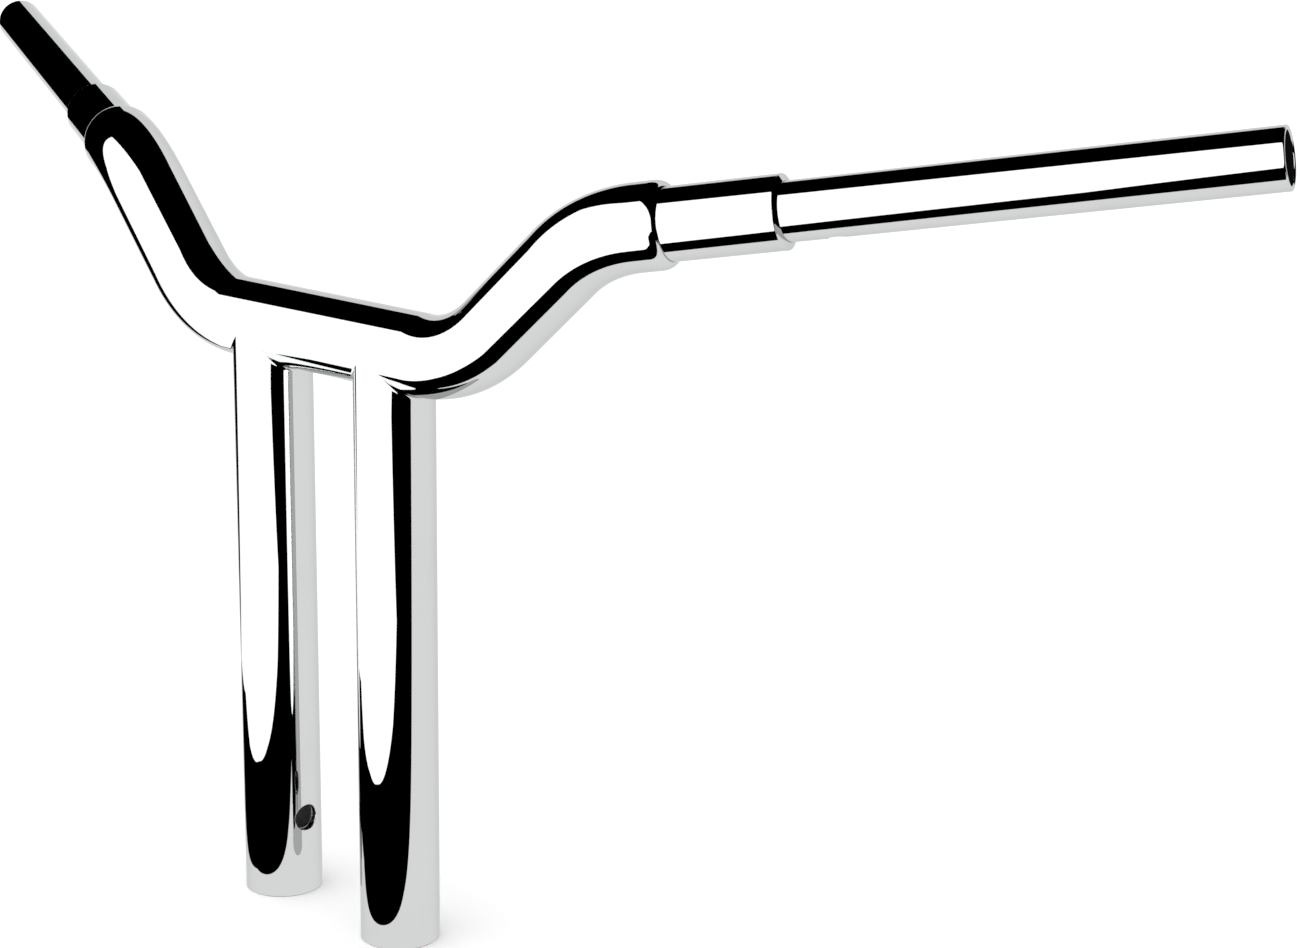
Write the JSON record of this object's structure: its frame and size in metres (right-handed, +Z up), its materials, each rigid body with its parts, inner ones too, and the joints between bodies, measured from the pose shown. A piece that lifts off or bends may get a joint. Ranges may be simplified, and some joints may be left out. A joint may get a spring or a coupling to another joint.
{
  "type": "handlebar",
  "caption": "Chromed T-bar motorcycle handlebar: bent crossbar on two upright riser tubes, arms that rise and sweep back and step down to open hand-grip ends, wiring routed inside.",
  "frame": {"origin": "midway between the two riser feet, on the plane where they meet the top clamp", "axes": "+Z up along the risers, +X to the rider's left along the crossbar, +Y back towards the rider"},
  "size_m": [0.867, 0.1462, 0.4119],
  "materials": {
    "chrome_plate": "mirror chrome plate over polished, dressed welds",
    "bung_steel": "turned steel, zinc-grey, tapped",
    "foot_weld": "weld ground flush with the foot"
  },
  "bodies": {
    "root": {"crossbar_tube": "chrome_plate", "left_riser_tube": "chrome_plate", "left_riser_bung": "bung_steel", "left_bung_weld": "foot_weld", "left_saddle_weld": "chrome_plate", "left_sleeve_tube": "chrome_plate", "left_shoulder_weld": "chrome_plate", "left_grip_tube": "chrome_plate", "left_step_weld": "chrome_plate", "right_riser_tube": "chrome_plate", "right_riser_bung": "bung_steel", "right_bung_weld": "foot_weld", "right_saddle_weld": "chrome_plate", "right_sleeve_tube": "chrome_plate", "right_shoulder_weld": "chrome_plate", "right_grip_tube": "chrome_plate", "right_step_weld": "chrome_plate"}
  },
  "joints": []
}
